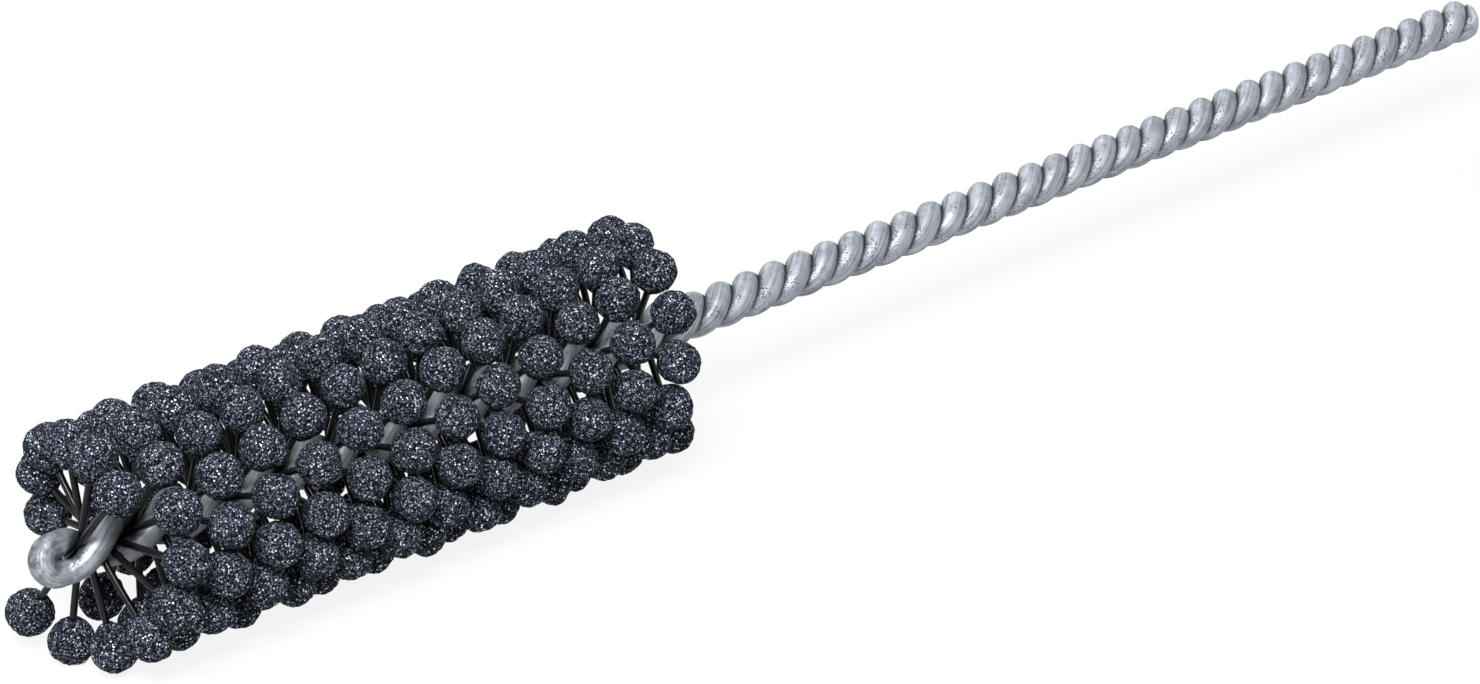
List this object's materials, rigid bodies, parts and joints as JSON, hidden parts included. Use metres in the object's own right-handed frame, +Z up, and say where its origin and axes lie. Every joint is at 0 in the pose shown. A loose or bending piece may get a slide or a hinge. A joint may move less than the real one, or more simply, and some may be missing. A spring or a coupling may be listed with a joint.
{
  "type": "flexible hone",
  "caption": "Twisted wire stem with a folded tip that grips radial nylon filaments, each ending in a rounded abrasive globule.",
  "frame": {"origin": "on the axis of the wire at the cut end of the shank", "axes": "+X runs along the axis from the folded tip out of the shank's cut end; +Z up, with the tool lying on its globules"},
  "size_m": [0.2015, 0.0257, 0.0258],
  "materials": {
    "galvanised_wire": "dull galvanised, drawn",
    "nylon": "glossy extruded",
    "abrasive": "coarse resin-bonded grit with fine sparkle"
  },
  "bodies": {
    "stem": {"core_wire": "galvanised_wire", "filaments_01": "nylon", "filaments_02": "nylon", "filaments_03": "nylon", "filaments_04": "nylon", "filaments_05": "nylon", "filaments_06": "nylon", "filaments_07": "nylon", "filaments_08": "nylon", "filaments_09": "nylon", "filaments_10": "nylon", "filaments_11": "nylon", "filaments_12": "nylon"},
    "globules": {"globules_a_01": "abrasive", "globules_a_02": "abrasive", "globules_a_03": "abrasive", "globules_a_04": "abrasive", "globules_a_05": "abrasive", "globules_a_06": "abrasive", "globules_a_07": "abrasive", "globules_a_08": "abrasive", "globules_a_09": "abrasive", "globules_a_10": "abrasive", "globules_a_11": "abrasive", "globules_a_12": "abrasive", "globules_b_01": "abrasive", "globules_b_02": "abrasive", "globules_b_03": "abrasive", "globules_b_04": "abrasive", "globules_b_05": "abrasive", "globules_b_06": "abrasive", "globules_b_07": "abrasive", "globules_b_08": "abrasive", "globules_b_09": "abrasive", "globules_b_10": "abrasive", "globules_b_11": "abrasive", "globules_b_12": "abrasive"}
  },
  "joints": [
    {"name": "globule_sweep", "type": "hinge", "parent": "stem", "child": "globules", "pos_m": [-0.1597, 0, 0], "axis": [1, 0, 0], "range_deg": [-12, 12], "stiffness_Nm_per_rad": 0.5, "deforming": ["filaments_01", "filaments_02", "filaments_03", "filaments_04", "filaments_05", "filaments_06", "filaments_07", "filaments_08", "filaments_09", "filaments_10", "filaments_11", "filaments_12"]}
  ]
}
